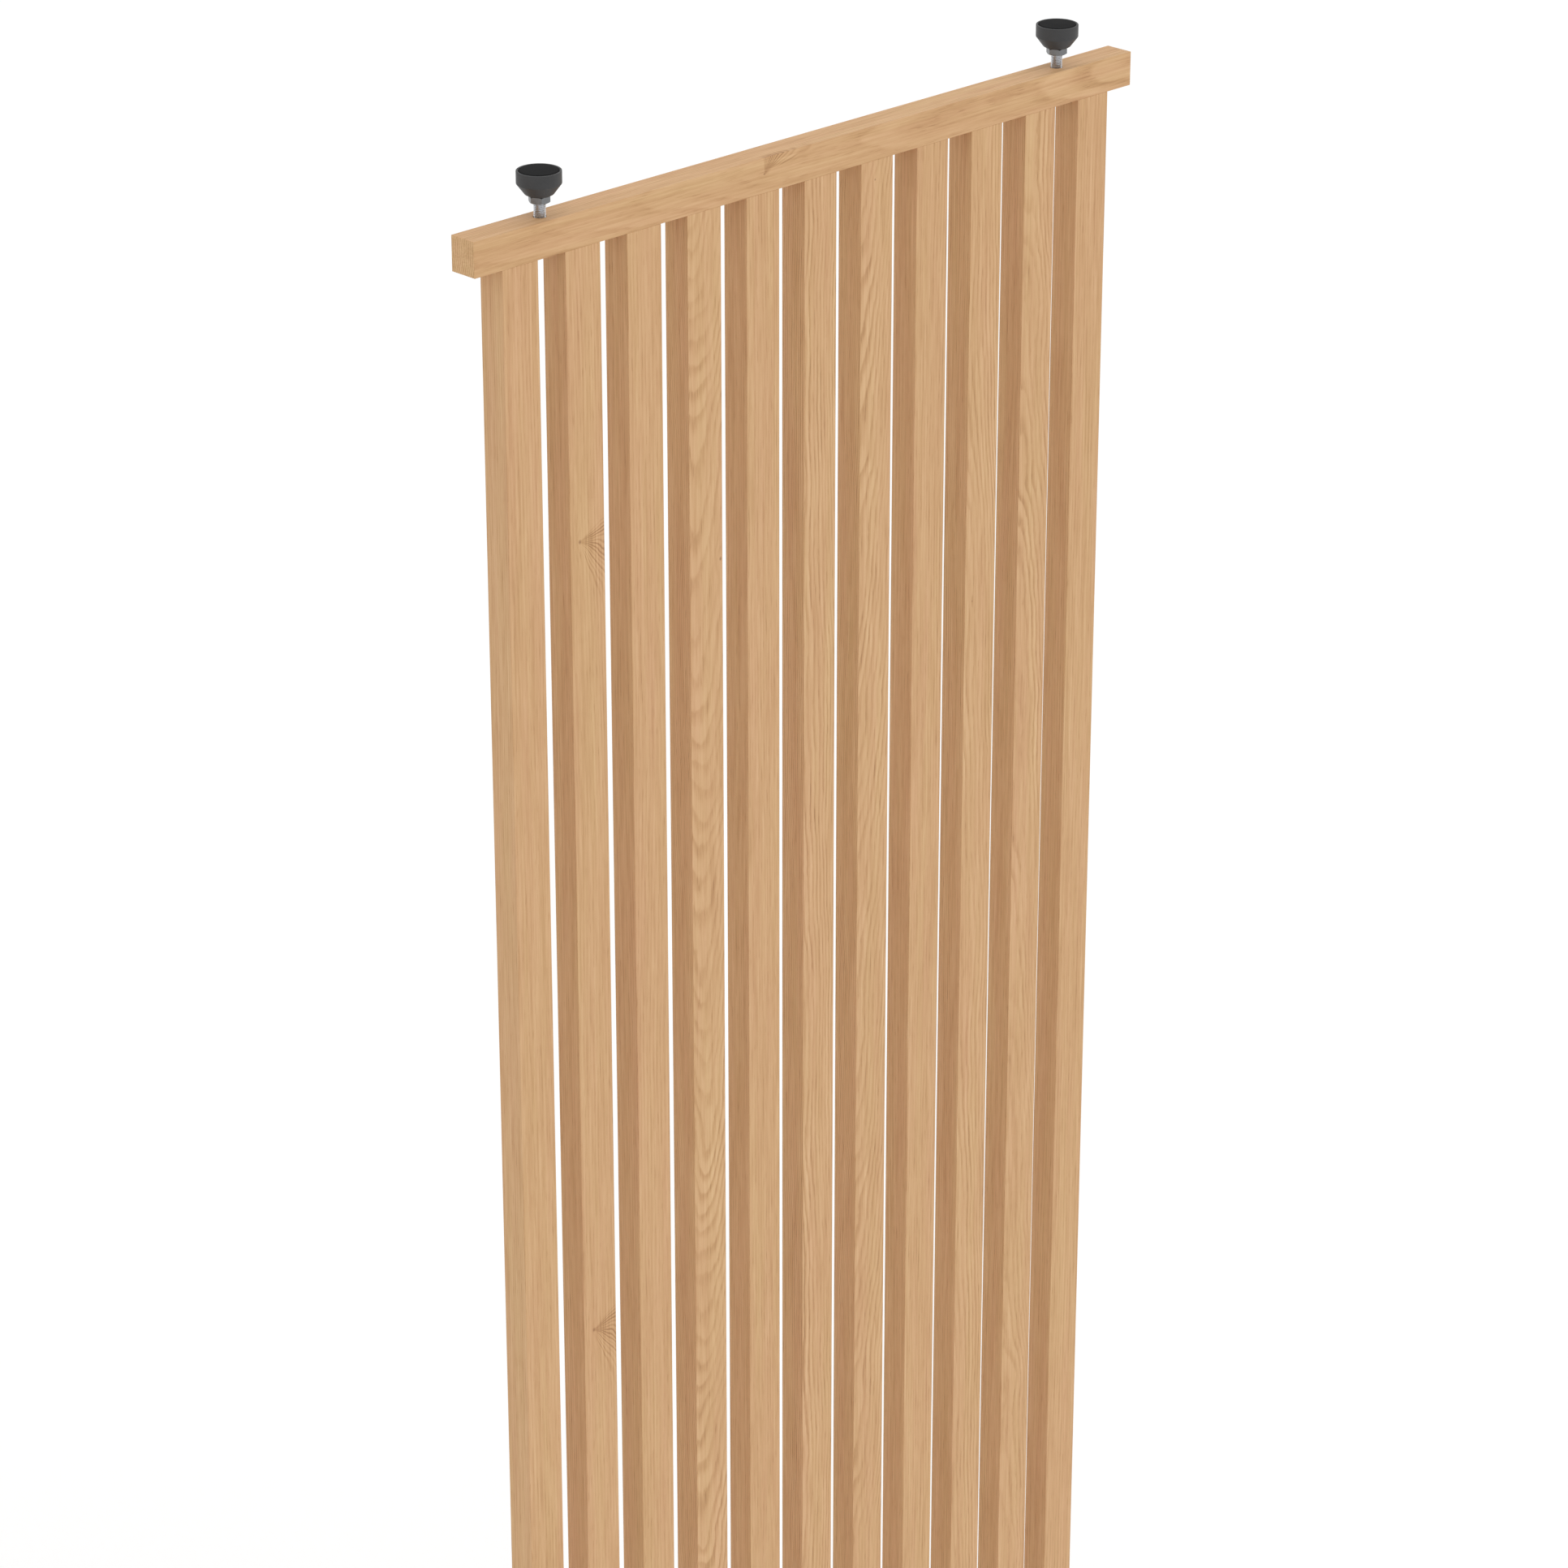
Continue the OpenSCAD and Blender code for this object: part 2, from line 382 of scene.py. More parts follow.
def oak_group():
    tree = bpy.data.node_groups.new("oak_figure", "ShaderNodeTree")
    for name, kind in OAK_INPUTS:
        tree.interface.new_socket(name, in_out="INPUT", socket_type=kind)
    for name in ("Tone", "Tint", "Knot", "Relief"):
        tree.interface.new_socket(name, in_out="OUTPUT", socket_type="NodeSocketFloat")
    given = tree.nodes.new("NodeGroupInput").outputs
    place, seed = given["Place"], given["Seed"]
    knots = [knot_push(tree, place, given[name]) for name in ("Knot A", "Knot B")]
    fans = [branch_fan(tree, place, seed, knot, given["Fan"], given["Fan Lean"]) for knot in knots]

    def cloud(stretch, detail=2.0, roughness=0.5):
        made = noise(tree, place, stretch, seed, detail, roughness).outputs["Fac"]
        return calc(tree, "SUBTRACT", made, NOISE_MEAN)

    # Slow bends of the log, then the waves in the growth rings
    bend = noise(tree, place, BEND_STRETCH, seed, detail=1.0).outputs["Color"]
    bend = vector(tree, "MULTIPLY", vector(tree, "SUBTRACT", bend, [NOISE_MEAN] * 3), BEND_DEPTH)
    wave = times(tree, cloud(WAVE_STRETCH, WAVE_DETAIL), given["Wave"])
    ripple = cloud(RIPPLE_STRETCH, RIPPLE_DETAIL, RIPPLE_ROUGHNESS)
    ripple = times(tree, ripple, times(tree, given["Wave"], RIPPLE_SHARE))
    centred = vector(tree, "ADD", vector(tree, "SUBTRACT", place, given["Pith"]), bend)
    aside, behind = split(tree, centred)[:2]
    for knot in knots:
        aside = calc(tree, "SUBTRACT", aside, knot["push"])
    radius = vector(tree, "LENGTH", joined(tree, aside, behind, 0.0))
    lean = times(tree, split(tree, place)[2], given["Taper"])
    for extra in (lean, wave, ripple, knots[0]["swell"], knots[1]["swell"]):
        radius = calc(tree, "ADD", radius, extra)
    turn = calc(tree, "FRACT", calc(tree, "DIVIDE", radius, RING_WIDTH))
    ring = calc(tree, "ADD", ramp(tree, turn, *RING_FALL), ramp(tree, turn, *RING_RISE))
    # Growth rings differ from year to year
    year = noise(tree, joined(tree, radius, 0.0, 0.0), YEAR_STRETCH, seed, detail=1.0).outputs["Fac"]
    depth = times(tree, given["Ring Depth"], ramp(tree, year, *YEAR_DEPTH, smooth=False))
    depth = times(tree, depth, ramp(tree, cloud(PATCH_STRETCH), *PATCH_DEPTH))
    depth = calc(tree, "MULTIPLY_ADD", given["End Grain"], END_GRAIN_RINGS, depth)
    fibre = cloud(FIBRE_STRETCH, FIBRE_DETAIL, FIBRE_ROUGHNESS)
    pores = noise(tree, place, PORE_STRETCH, seed, detail=1.0).outputs["Fac"]
    pores = times(tree, ramp(tree, pores, *PORE_EDGES), ramp(tree, ring, *PORES_IN_RING))
    tone = times(tree, calc(tree, "SUBTRACT", RING_LEVEL, ring), depth)
    tone = calc(tree, "ADD", tone, times(tree, fibre, FIBRE_SHARE))
    for stretch, share in STREAKS:
        tone = calc(tree, "ADD", tone, times(tree, cloud(stretch), share))
    tone = calc(tree, "SUBTRACT", tone, times(tree, pores, PORE_SHARE))
    for rays, inside, wedge in fans:
        shade = times(tree, calc(tree, "SUBTRACT", RAY_LEVEL, rays), inside)
        tone = calc(tree, "MULTIPLY_ADD", shade, RAY_SHARE, tone)
        tone = calc(tree, "MULTIPLY_ADD", wedge, WEDGE_SHARE, tone)
    tone = calc(tree, "SUBTRACT", tone, times(tree, given["End Grain"], END_GRAIN_TONE))
    tone = calc(tree, "ADD", tone, TONE_LEVEL)
    tint = calc(tree, "ADD", cloud(TINT_STRETCH), times(tree, cloud(SLOW_TINT_STRETCH), SLOW_TINT_SHARE))
    tint = calc(tree, "MULTIPLY_ADD", given["End Grain"], END_GRAIN_TINT, tint)
    relief = calc(tree, "SUBTRACT", times(tree, fibre, FIBRE_RELIEF), pores)
    core = calc(tree, "MAXIMUM", knots[0]["core"], knots[1]["core"])
    add(tree, "NodeGroupOutput", (tone, tint, core, relief))
    return tree


OAK = oak_group()
OAK_TONES = (
    (0.0, (0.40, 0.215, 0.100, 1)),
    (0.3, (0.548, 0.316, 0.153, 1)),
    (0.5, (0.622, 0.376, 0.191, 1)),
    (0.8, (0.712, 0.458, 0.248, 1)),
    (1.0, (0.765, 0.520, 0.298, 1)),
)
OAK_GLOSS = (0.2, 0.8, 0.62, 0.5)
OAK_SHINE = 0.2
OAK_BUMP = 0.35
OAK_BUMP_DEPTH = 0.12 * MM
HUE_LEVEL = 0.5
HUE_CHANGE = 0.017
END_GRAIN_FACING = (0.6, 0.95)
SEED_STEPS = (3.7, 1.9, 5.3)
# A knot this far away stands for none
FAR_KNOT = (1.0, 0.004, 9.0)


def oak_material(name, centre, along_x, figure):
    paint, tree = new_material(name)
    coords = add(tree, "ShaderNodeTexCoord").outputs["Object"]
    turn = (0.0, RIGHT_ANGLE, 0.0) if along_x else NO_TURN
    move = (-centre[2 if along_x else 0], 0.0, 0.0)
    place = add(tree, "ShaderNodeMapping", {"Vector": coords, "Location": move, "Rotation": turn}).outputs[0]
    knots = [*figure["knots"], FAR_KNOT, FAR_KNOT]
    inputs = {
        "Place": place,
        "Pith": (figure["pith"][0] * MM, figure["pith"][1] * MM, 0.0),
        "Taper": figure["taper"] * MM,
        "Wave": figure["wave"] * MM,
        "Seed": [figure["seed"] * step for step in SEED_STEPS],
        "Knot A": knots[0],
        "Knot B": knots[1],
        "Fan": figure["fan"],
        "Fan Lean": figure["lean"],
        "End Grain": ramp(tree, facing(tree, 0 if along_x else 2), *END_GRAIN_FACING),
        "Ring Depth": figure["depth"],
    }
    # The node gets these sockets from its tree, which is set before they are filled
    wood = add(tree, "ShaderNodeGroup", inputs, node_tree=OAK).outputs
    tone = calc(tree, "ADD", wood["Tone"], figure["tone"])
    colour = add(tree, "ShaderNodeValToRGB", (tone,))
    band = colour.color_ramp
    band.elements[0].position, band.elements[0].color = OAK_TONES[0]
    band.elements[1].position, band.elements[1].color = OAK_TONES[-1]
    for position, shade in OAK_TONES[1:-1]:
        band.elements.new(position).color = shade
    hue = calc(tree, "MULTIPLY_ADD", wood["Tint"], HUE_CHANGE, HUE_LEVEL)
    tinted = add(tree, "ShaderNodeHueSaturation", {"Hue": hue, "Color": colour.outputs[0]}).outputs[0]
    inputs = {"Strength": OAK_BUMP, "Distance": OAK_BUMP_DEPTH, "Height": wood["Relief"]}
    bump = add(tree, "ShaderNodeBump", inputs).outputs[0]
    inputs = {
        "Base Color": mix(tree, wood["Knot"], tinted, KNOT_COLOUR),
        "Roughness": ramp(tree, wood["Tone"], *OAK_GLOSS, smooth=False),
        "Normal": bump,
        "Specular IOR Level": OAK_SHINE,
    }
    surface(tree, add(tree, "ShaderNodeBsdfPrincipled", inputs))
    return paint


# How each board was cut: the pith's place beside it in mm, the log's taper and waves, tone and knots
USUAL_CUT = {"taper": 4.0, "wave": 3.0, "tone": 0.0, "depth": 0.1, "fan": 0.0, "lean": 0.0, "knots": ()}


def cut(seed, pith, **changes):
    return {"seed": seed, "pith": pith, **USUAL_CUT, **changes}


RAIL_BRANCH = {"fan": 1.2, "lean": 0.4, "knots": [(0.0015, 0.0011, 0.078)]}
SLAT_02_KNOTS = [(-0.0102, 0.0019, 2.1195), (-0.0090, 0.0019, 1.2395)]
SLAT_04_KNOTS = [(0.0195, 0.0017, 2.050)]
SLAT_07_KNOTS = [(-0.003, 0.0010, 2.398)]
SLAT_09_KNOTS = [(-0.0114, 0.0009, 1.900)]
FIGURES = {
    "top_rail": cut(31, (8, 92), tone=-0.02, taper=26.0, depth=0.12, wave=9.0, **RAIL_BRANCH),
    "bottom_rail": cut(37, (-6, 90), tone=-0.03, taper=-20.0, depth=0.11, wave=9.0),
    "slat_01": cut(1, (-90, 110), depth=0.08),
    "slat_02": cut(2, (-100, 110), fan=1.0, knots=SLAT_02_KNOTS),
    "slat_03": cut(3, (90, 120)),
    "slat_04": cut(4, (-13, 60), taper=-80.0, wave=17.0, depth=0.2, knots=SLAT_04_KNOTS),
    "slat_05": cut(5, (-110, 100), depth=0.08),
    "slat_06": cut(6, (-44, 56), taper=9.0, wave=14.0, depth=0.26),
    "slat_07": cut(7, (-30, 56), taper=-46.0, wave=16.0, depth=0.22, knots=SLAT_07_KNOTS),
    "slat_08": cut(8, (110, 110), depth=0.08),
    "slat_09": cut(9, (-42, 62), taper=16.0, wave=12.0, depth=0.22, knots=SLAT_09_KNOTS),
    "slat_10": cut(12, (-24, 54), taper=30.0, wave=20.0, depth=0.2),
    "slat_11": cut(11, (100, 120), depth=0.08),
}


# Materials: zinc, plastic, rubber and the dowels' beech
CLOUD_STRETCH = (70.0, 70.0, 70.0)
CLOUD_SEED = (3.0, 1.0, 2.0)
GRAIN_SEED = (0.0, 0.0, 0.0)
MOTTLE_EDGES = (0.35, 0.65)
GLOSS_EDGES = (0.3, 0.7)
GLOSS_CHANGE = 0.05
PLAIN_BUMP_DEPTH = 0.2 * MM
# How squarely a face looks along the axis before it gets the painted reflection
PAINTED_SHEEN_FACING = (0.1, 0.4)
USUAL_FINISH = {
    "metallic": 0.0,
    "shine": 0.5,
    "fine": 900.0,
    "mottle": 0.08,
    "bump": 0.1,
    "stretch": 1.0,
    # A colour here paints a reflection onto end faces and chamfers, brighter than the flats
    "painted_sheen": None,
}


def plain_material(name, colour, roughness, **changes):
    finish = {**USUAL_FINISH, **changes}
    paint, tree = new_material(name)
    coords = add(tree, "ShaderNodeTexCoord").outputs["Object"]
    fine, mottle = finish["fine"], finish["mottle"]
    grain = noise(tree, coords, (fine, fine, fine * finish["stretch"]), GRAIN_SEED).outputs["Fac"]
    cloud = noise(tree, coords, CLOUD_STRETCH, CLOUD_SEED).outputs["Fac"]
    low, high = [[c * (1 + change) for c in colour] + [1] for change in (-mottle, mottle)]
    mixed = times(tree, calc(tree, "ADD", grain, cloud), 0.5)
    painted = mix(tree, ramp(tree, mixed, *MOTTLE_EDGES), low, high)
    if finish["painted_sheen"]:
        # Painted reflection: end faces and chamfers get a brighter colour than the flats, standing in for
        # the sky they reflect
        painted = mix(tree, ramp(tree, facing(tree, 2), *PAINTED_SHEEN_FACING), painted, finish["painted_sheen"])
    inputs = {"Strength": finish["bump"], "Distance": PLAIN_BUMP_DEPTH, "Height": grain}
    bump = add(tree, "ShaderNodeBump", inputs).outputs[0]
    gloss = ramp(tree, cloud, *GLOSS_EDGES, roughness - GLOSS_CHANGE, roughness + GLOSS_CHANGE)
    inputs = {
        "Base Color": painted,
        "Roughness": gloss,
        "Metallic": finish["metallic"],
        "Normal": bump,
        "Specular IOR Level": finish["shine"],
    }
    surface(tree, add(tree, "ShaderNodeBsdfPrincipled", inputs))
    return paint


ZINC = plain_material("bright_zinc", (0.56, 0.57, 0.59), 0.25, metallic=1.0, fine=500.0)
# The nut's end faces and chamfers get a painted reflection, a colour brighter than its flats
NUT_LOOK = {"metallic": 1.0, "fine": 400.0, "painted_sheen": (0.5, 0.5, 0.5, 1)}
NUT_ZINC = plain_material("nut_zinc", (0.19, 0.195, 0.20), 0.34, **NUT_LOOK)
INSERT_ZINC = plain_material("insert_zinc", (0.55, 0.55, 0.56), 0.4, metallic=1.0)
PAD_PLASTIC = plain_material("pad_plastic", (0.046, 0.046, 0.047), 0.5, shine=0.3, fine=2200.0, mottle=0.12)
RUBBER_LOOK = {"shine": 0.08, "fine": 1500.0, "mottle": 0.2, "bump": 0.2}
GRIP_RUBBER = plain_material("grip_rubber", (0.014, 0.014, 0.0145), 0.8, **RUBBER_LOOK)
BEECH = plain_material("dowel_beech", (0.62, 0.42, 0.25), 0.6, fine=1200.0, stretch=0.04)


# Finished meshes
SAME_POINT = 0.002 * MM
OPEN_SIDES = 4
EDGE_ROUND = 0.5 * MM
EDGE_STEPS = 3
EDGE_ANGLE = 40


def finish_mesh(made, smooth_angle=None):
    work = bmesh.new()
    work.from_mesh(made.data)
    bmesh.ops.remove_doubles(work, verts=work.verts, dist=SAME_POINT)
    bmesh.ops.dissolve_degenerate(work, dist=SAME_POINT, edges=work.edges)
    # Closes what the merging of near points has left open
    open_edges = [edge for edge in work.edges if edge.is_boundary]
    bmesh.ops.holes_fill(work, edges=open_edges, sides=OPEN_SIDES)
    bmesh.ops.recalc_face_normals(work, faces=work.faces)
    work.to_mesh(made.data)
    work.free()
    if smooth_angle is not None:
        made.data.shade_smooth()
        made.data.set_sharp_from_angle(angle=math.radians(smooth_angle))


def dress(made, node, body):
    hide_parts(node)
    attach(made, body)


def grown(name, tree, values, bevel=None):
    # One evaluation of a geometry tree, as a plain mesh
    made = bpy.data.objects.new(name, bpy.data.meshes.new(name))
    scene.collection.objects.link(made)
    modifier = made.modifiers.new(tree.name, "NODES")
    modifier.node_group = tree
    for item in tree.interface.items_tree:
        if item.item_type == "SOCKET" and item.in_out == "INPUT":
            modifier[item.identifier] = values[item.name]
    if bevel:
        edge = made.modifiers.new("rounded_edges", "BEVEL")
        edge.width = bevel
        edge.segments = EDGE_STEPS
        edge.limit_method = "ANGLE"
        edge.angle_limit = math.radians(EDGE_ANGLE)
        edge.use_clamp_overlap = True
    ready = made.evaluated_get(bpy.context.evaluated_depsgraph_get())
    mesh = bpy.data.meshes.new_from_object(ready)
    made.modifiers.clear()
    # A tree's mesh starts with an empty material place, so the piece keeps only its own material
    mesh.materials.clear()
    mesh.materials.append(values["Material"])
    mesh.polygons.foreach_set("material_index", [0] * len(mesh.polygons))
    made.data = mesh
    return made


def tree_with(name, sockets):
    tree = bpy.data.node_groups.new(name, "GeometryNodeTree")
    for title, kind in sockets:
        tree.interface.new_socket(title, in_out="INPUT", socket_type=kind)
    tree.interface.new_socket("Geometry", in_out="OUTPUT", socket_type="NodeSocketGeometry")
    return tree, tree.nodes.new("NodeGroupInput").outputs


def end_tree(tree, geometry, given):
    inputs = {"Geometry": geometry, "Translation": given["Place"], "Rotation": given["Turn"]}
    placed = add(tree, "GeometryNodeTransform", inputs).outputs[0]
    solid = add(tree, "GeometryNodeRealizeInstances", {"Geometry": placed}).outputs[0]
    inputs = {"Geometry": solid, "Material": given["Material"]}
    painted = add(tree, "GeometryNodeSetMaterial", inputs).outputs[0]
    add(tree, "NodeGroupOutput", (painted,))


# Rails and slats
BOARD_SOCKETS = (
    ("Size", "NodeSocketVector"),
    ("Hole Count", "NodeSocketInt"),
    ("Hole Step", "NodeSocketVector"),
    ("First Holes", "NodeSocketVector"),
    ("Second Holes", "NodeSocketVector"),
    ("Jack Bores", "NodeSocketInt"),
    ("Place", "NodeSocketVector"),
    ("Turn", "NodeSocketVector"),
    ("Material", "NodeSocketMaterial"),
)
DOWEL_HOLE_SIDES = 32
BORE_SIDES = 48


def hole_row(tree, start, count, step, radius, deep, sides):
    inputs = {"Count": count, "Start Location": start, "Offset": step}
    line = add(tree, "GeometryNodeMeshLine", inputs).outputs[0]
    inputs = {"Vertices": sides, "Radius": radius, "Depth": deep}
    drill = add(tree, "GeometryNodeMeshCylinder", inputs).outputs[0]
    row = add(tree, "GeometryNodeInstanceOnPoints", {"Points": line, "Instance": drill}).outputs[0]
    return add(tree, "GeometryNodeRealizeInstances", {"Geometry": row}).outputs[0]


def board_tree():
    tree, given = tree_with("bored_board", BOARD_SOCKETS)
    solid = add(tree, "GeometryNodeMeshCube", {"Size": given["Size"]}).outputs[0]
    dowels = (given["Hole Count"], given["Hole Step"], DOWEL_HOLE_R, 2 * DOWEL_HOLE_DEEP, DOWEL_HOLE_SIDES)
    jacks = (given["Jack Bores"], (2 * JACK_X, 0.0, 0.0))
    bore_start = (-JACK_X, 0.0, 0.0)
    sleeve_start = (-JACK_X, 0.0, -RAIL_H / 2)
    rows = (
        hole_row(tree, given["First Holes"], *dowels),
        hole_row(tree, given["Second Holes"], *dowels),
        hole_row(tree, bore_start, *jacks, STUD_BORE_R, 2 * RAIL_H, BORE_SIDES),
        hole_row(tree, sleeve_start, *jacks, SLEEVE_BORE_R, 2 * SLEEVE_LEN, BORE_SIDES),
    )
    for row in rows:
        cut_board = add(tree, "GeometryNodeMeshBoolean", operation="DIFFERENCE", solver="EXACT")
        tree.links.new(solid, cut_board.inputs["Mesh 1"])
        tree.links.new(row, cut_board.inputs["Mesh 2"])
        solid = cut_board.outputs[0]
    end_tree(tree, solid, given)
    return tree


BOARD = board_tree()


def middle(node):
    low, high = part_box(node)
    return Vector([(a + b) / 2 for a, b in zip(low, high)]), Vector([b - a for a, b in zip(low, high)])


def make_board(node, along_x, holes):
    centre, size = middle(node)
    values = {
        "Size": size,
        "Place": centre,
        "Material": oak_material(f"{node}_oak", centre, along_x, FIGURES[node]),
        **holes,
    }
    made = grown(f"{node}_board", BOARD, values, EDGE_ROUND)
    finish_mesh(made)
    dress(made, node, "frame")


def make_rail(node, end):
    inner_face = -middle(node)[1].z / 2
    first = FIRST_SLAT_X - DOWEL_SPACING / 2
    holes = {
        "Hole Count": SLATS,
        "Hole Step": (SLAT_PITCH, 0.0, 0.0),
        "First Holes": (first, 0.0, inner_face),
        "Second Holes": (first + DOWEL_SPACING, 0.0, inner_face),
        "Jack Bores": JACKS_PER_RAIL,
        "Turn": (0.0 if end > 0 else math.pi, 0.0, 0.0),
    }
    make_board(node, True, holes)


def make_slat(node):
    end_face = middle(node)[1].z / 2
    holes = {
        "Hole Count": DOWELS_PER_END,
        "Hole Step": (DOWEL_SPACING, 0.0, 0.0),
        "First Holes": (-DOWEL_SPACING / 2, 0.0, -end_face),
        "Second Holes": (-DOWEL_SPACING / 2, 0.0, end_face),
        "Jack Bores": 0,
        "Turn": NO_TURN,
    }
    make_board(node, False, holes)


make_rail("top_rail", 1)
make_rail("bottom_rail", -1)
for slat_name in SLAT_NAMES:
    make_slat(slat_name)


# Turned pieces: a profile is spun round the jack's axis
ROUND_STEPS = 5
TURNED_SIDES = 96
TURNED_SMOOTH = 35
POLE_R = 0.01 * MM


def rounded(corners):
    points = []
    for i, (radius, height, fillet) in enumerate(corners):
        if i in (0, len(corners) - 1) or not fillet:
            points.append((radius, height))
            continue
        here = Vector((radius, height))
        before = (Vector(corners[i - 1][:2]) - here).normalized()
        after = (Vector(corners[i + 1][:2]) - here).normalized()
        half = before.angle(after) / 2
        centre = here + (before + after).normalized() * (fillet / math.sin(half))
        start = here + before * (fillet / math.tan(half)) - centre
        stop = here + after * (fillet / math.tan(half)) - centre
        for k in range(ROUND_STEPS + 1):
            arm = start.slerp(stop, k / ROUND_STEPS).normalized() * fillet
            points.append(tuple(centre + arm))
    return points


def jack_matrix(jack):
    # From a jack's own axis, with the rail's outer face at 0, to its place
    x, end = JACKS[jack]
    low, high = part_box("top_rail" if end > 0 else "bottom_rail")
    face = high[2] if end > 0 else low[2]
    return Matrix.Translation((x, 0, face)) @ Matrix.Rotation(0 if end > 0 else math.pi, 4, "X")


AT_JACK = {jack: jack_matrix(jack) for jack in JACKS}


def ring_mesh(name, rings, closed, jack, material):
    verts, faces, starts = [], [], []
    for ring in rings:
        pole = max(abs(x) + abs(y) for x, y, z in ring) < POLE_R
        starts.append((len(verts), pole))
        verts += [AT_JACK[jack] @ Vector(point) for point in (ring[:1] if pole else ring)]
    sides = max(len(ring) for ring in rings)
    last = len(rings) if closed else len(rings) - 1
    for i in range(last):
        (a, a_pole), (b, b_pole) = starts[i], starts[(i + 1) % len(rings)]
        for k in range(sides):
            n = (k + 1) % sides
            low = [a] if a_pole else [a + k, a + n]
            high = [b] if b_pole else [b + n, b + k]
            if len(low + high) > 2:
                faces.append(low + high)
    mesh = bpy.data.meshes.new(name)
    mesh.from_pydata(verts, [], faces)
    mesh.materials.append(material)
    made = bpy.data.objects.new(name, mesh)
    scene.collection.objects.link(made)
    return made


def turned(name, profile, base, jack, material, sides=TURNED_SIDES):
    # A profile's corner is (radius, height above the base, rounding), in mm
    corners = [(radius * MM, base + height * MM, fillet * MM) for radius, height, fillet in profile]
    angles = [math.tau * k / sides for k in range(sides)]
    rings = []
    for radius, height in rounded(corners):
        rings.append([(radius * math.cos(a), radius * math.sin(a), height) for a in angles])
    made = ring_mesh(name, rings, False, jack, material)
    finish_mesh(made, TURNED_SMOOTH)
    return made


# The cup: its snap socket, foot, cone, rim and the pocket for the rubber
PAD_PROFILE = (
    (0.0, 8.3, 0.0),
    (5.8, 8.3, 0.3),
    (5.8, 4.7, 0.2),
    (4.55, 4.7, 0.3),
    (4.55, 0.0, 0.2),
    (11.4, 0.0, 2.2),
    (14.3, 1.7, 1.2),
    (22.0, 12.0, 1.0),
    (22.0, 24.5, 0.7),
    (19.7, 24.5, 0.6),
    (19.7, 20.0, 0.2),
    (0.0, 20.0, 0.0),
)


def make_pad(jack):
    made = turned(f"{jack}_cup", PAD_PROFILE, PAD_Z, jack, PAD_PLASTIC)
    dress(made, f"{jack}_pad", f"{jack}_foot")


# The rubber disc, with its sloped edge
GRIP_PROFILE = (
    (0.0, 0.0, 0.0),
    (19.65, 0.0, 0.3),
    (19.65, 3.7, 0.3),
    (18.35, 5.0, 0.5),
    (0.0, 5.0, 0.0),
)


def make_grip(jack):
    made = turned(f"{jack}_rubber", GRIP_PROFILE, GRIP_Z, jack, GRIP_RUBBER)
    dress(made, f"{jack}_grip", f"{jack}_foot")


# The hexagon nut
NUT_FLATS = 6
NUT_SIDES = 96
NUT_SMOOTH = 25
NUT_BORE_EDGE = 0.5 * MM
NUT_FACE_SHARE = 0.96
NUT_FACE_R = NUT_AF / 2 * NUT_FACE_SHARE
NUT_CHAMFER_ANGLE = 30
NUT_SLOPE = math.tan(math.radians(NUT_CHAMFER_ANGLE))


def make_nut(jack):
    low = NUT_Z
    high = NUT_Z + NUT_H - TURN_GAP
    hexagon = []
    for k in range(NUT_SIDES):
        angle = math.tau * k / NUT_SIDES
        off = (angle % (math.tau / NUT_FLATS)) - math.pi / NUT_FLATS
        hexagon.append((angle, NUT_AF / 2 / math.cos(off)))
    # A ring is (radius, height, way of its chamfer), and one without a radius follows the flats
    plan = (
        (NUT_BORE_R, low + NUT_BORE_EDGE, 0),
        (NUT_BORE_R + NUT_BORE_EDGE, low, 0),
        (NUT_FACE_R, low, 0),
        (None, low, 1),
        (None, high, -1),
        (NUT_FACE_R, high, 0),
        (NUT_BORE_R + NUT_BORE_EDGE, high, 0),
        (NUT_BORE_R, high - NUT_BORE_EDGE, 0),
    )
    rings = []
    for radius, height, way in plan:
        ring = []
        for angle, reach in hexagon:
            r = radius or reach
            z = height + way * (reach - NUT_FACE_R) * NUT_SLOPE
            ring.append((r * math.cos(angle), r * math.sin(angle), z))
        rings.append(ring)
    made = ring_mesh(f"{jack}_hexagon", rings, True, jack, NUT_ZINC)
    finish_mesh(made, NUT_SMOOTH)
    dress(made, f"{jack}_nut", f"{jack}_screw")


# Threaded studs
THREAD_SOCKETS = (
    ("Pitch", "NodeSocketFloat"),
    ("Crest Radius", "NodeSocketFloat"),
    ("Root Radius", "NodeSocketFloat"),
    ("Bottom", "NodeSocketFloat"),
    ("Top", "NodeSocketFloat"),
    ("Chamfer", "NodeSocketFloat"),
    ("Place", "NodeSocketVector"),
    ("Turn", "NodeSocketVector"),
    ("Material", "NodeSocketMaterial"),
)
THREAD_SIDES = 40
THREAD_TURNS = 36
ROWS_PER_TURN = 8
THREAD_ROWS = THREAD_TURNS * ROWS_PER_TURN
GRID_HALF = 0.5
HALF_TURN = 0.5
THREAD_CREST = 1 / 16
THREAD_ROOT = 6 / 16
THREAD_START = 2.0 + 1 / 16
THREAD_SMOOTH = 30
THREAD_SAME_POINT = 0.003 * MM
END_ROW = 1e-4
NECK_SIDES = 48
# The neck and the knob that snaps into the cup
NECK_PROFILE = (
    (0.0, -0.5, 0.0),
    (4.5, -0.5, 0.0),
    (4.5, 5.0, 0.0),
    (5.5, 5.0, 0.2),
    (5.5, 7.0, 0.0),
    (4.5, 8.0, 0.3),
    (0.0, 8.0, 0.0),
)


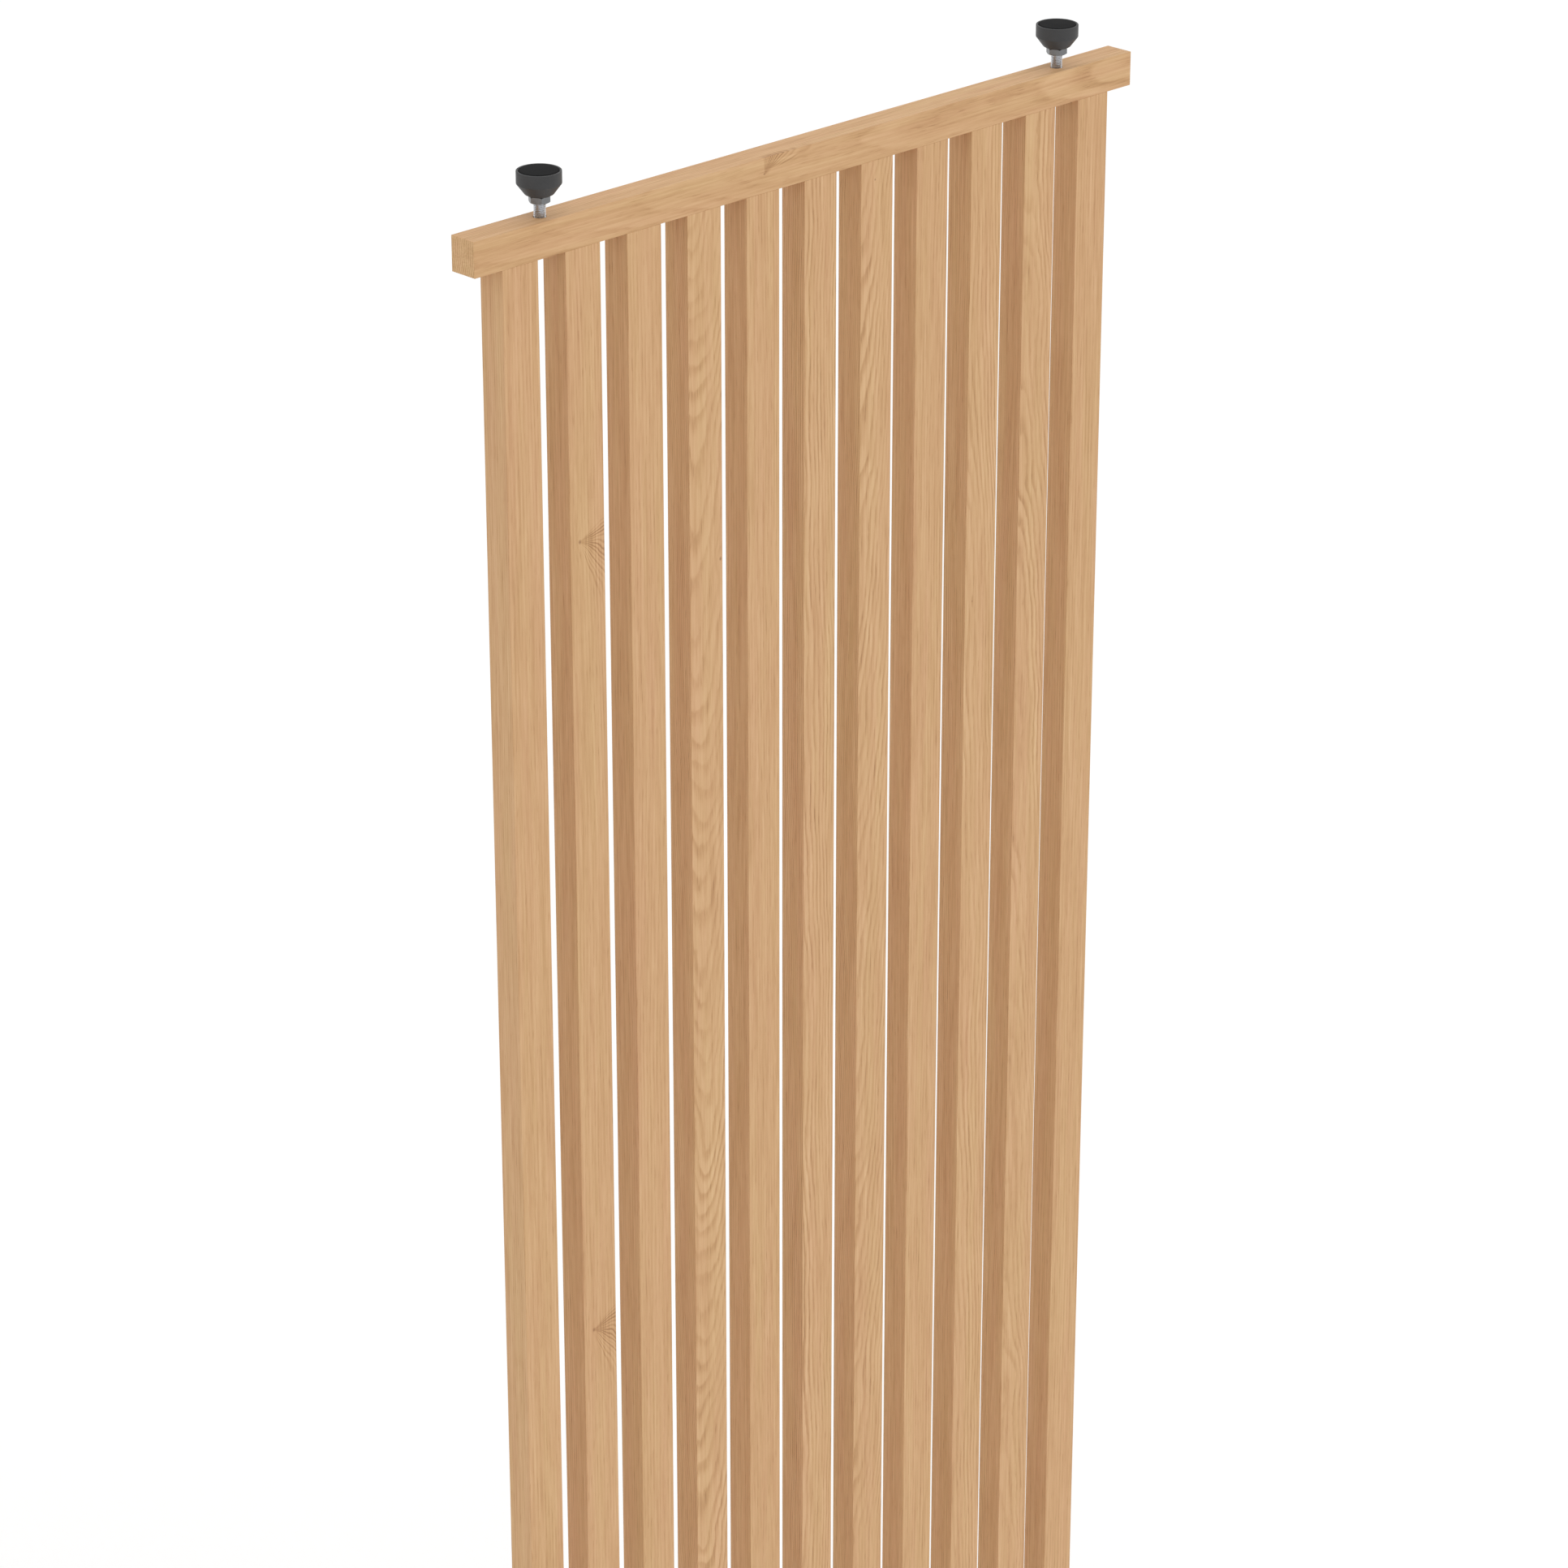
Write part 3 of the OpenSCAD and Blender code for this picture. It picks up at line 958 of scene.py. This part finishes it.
def thread_tree():
    tree, given = tree_with("stud_thread", THREAD_SOCKETS)
    bottom, top, pitch, crest = (given[name] for name in ("Bottom", "Top", "Pitch", "Crest Radius"))
    inputs = {"Size X": 1.0, "Size Y": 1.0, "Vertices X": THREAD_SIDES + 1, "Vertices Y": THREAD_ROWS + 1}
    grid = add(tree, "GeometryNodeMeshGrid", inputs).outputs[0]
    place = split(tree, add(tree, "GeometryNodeInputPosition").outputs[0])
    turn = calc(tree, "ADD", place[0], GRID_HALF)
    row = calc(tree, "ADD", place[1], GRID_HALF)
    angle = times(tree, turn, math.tau)
    # Each row follows the helix, starting one turn below the stud's end
    turns = calc(tree, "ADD", times(tree, row, float(THREAD_TURNS)), calc(tree, "SUBTRACT", turn, 1.0))
    free = calc(tree, "ADD", bottom, times(tree, turns, pitch))
    height = calc(tree, "MINIMUM", calc(tree, "MAXIMUM", free, bottom), top)
    lift = calc(tree, "DIVIDE", calc(tree, "SUBTRACT", height, bottom), pitch)
    phase = calc(tree, "FRACT", calc(tree, "ADD", calc(tree, "SUBTRACT", lift, turn), THREAD_START))
    off = calc(tree, "ABSOLUTE", calc(tree, "SUBTRACT", phase, HALF_TURN))
    radius = ramp(tree, off, THREAD_CREST, THREAD_ROOT, crest, given["Root Radius"], smooth=False)
    for end in (bottom, top):
        room = calc(tree, "ABSOLUTE", calc(tree, "SUBTRACT", height, end))
        limit = calc(tree, "ADD", calc(tree, "SUBTRACT", crest, given["Chamfer"]), room)
        radius = calc(tree, "MINIMUM", radius, limit)
    # The first and last rows close the ends
    after_first = calc(tree, "GREATER_THAN", row, END_ROW)
    before_last = calc(tree, "LESS_THAN", row, 1 - END_ROW)
    radius = times(tree, radius, times(tree, after_first, before_last))
    x = times(tree, radius, calc(tree, "COSINE", angle))
    y = times(tree, radius, calc(tree, "SINE", angle))
    inputs = {"Geometry": grid, "Position": joined(tree, x, y, height)}
    rod = add(tree, "GeometryNodeSetPosition", inputs).outputs[0]
    inputs = {"Geometry": rod, "Distance": THREAD_SAME_POINT}
    end_tree(tree, add(tree, "GeometryNodeMergeByDistance", inputs).outputs[0], given)
    return tree


THREAD = thread_tree()


def make_stud(jack):
    end = JACKS[jack][1]
    values = {
        "Pitch": THREAD_PITCH,
        "Crest Radius": STUD_R,
        "Root Radius": THREAD_ROOT_R,
        "Bottom": -RAIL_H,
        "Top": PAD_Z - TURN_GAP,
        "Chamfer": STUD_CHAMFER,
        "Place": AT_JACK[jack].translation,
        "Turn": (0.0 if end > 0 else math.pi, 0.0, 0.0),
        "Material": ZINC,
    }
    made = grown(f"{jack}_screw_stud", THREAD, values)
    finish_mesh(made, THREAD_SMOOTH)
    neck = turned(f"{jack}_neck", NECK_PROFILE, PAD_Z, jack, ZINC, NECK_SIDES)
    both = bmesh.new()
    both.from_mesh(made.data)
    both.from_mesh(neck.data)
    both.to_mesh(made.data)
    both.free()
    bpy.data.objects.remove(neck)
    dress(made, f"{jack}_stud", f"{jack}_screw")


for jack_name in JACKS:
    make_pad(jack_name)
    make_grip(jack_name)
    make_nut(jack_name)
    make_stud(jack_name)


# Inserts and dowels keep their CAD shapes
def paint_node(node, material):
    for place_in_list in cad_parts[node].material_slots:
        place_in_list.material = material


for jack_name in JACKS:
    paint_node(f"{jack_name}_insert", INSERT_ZINC)
for dowel_node in ("top_dowels", "bottom_dowels"):
    paint_node(dowel_node, BEECH)
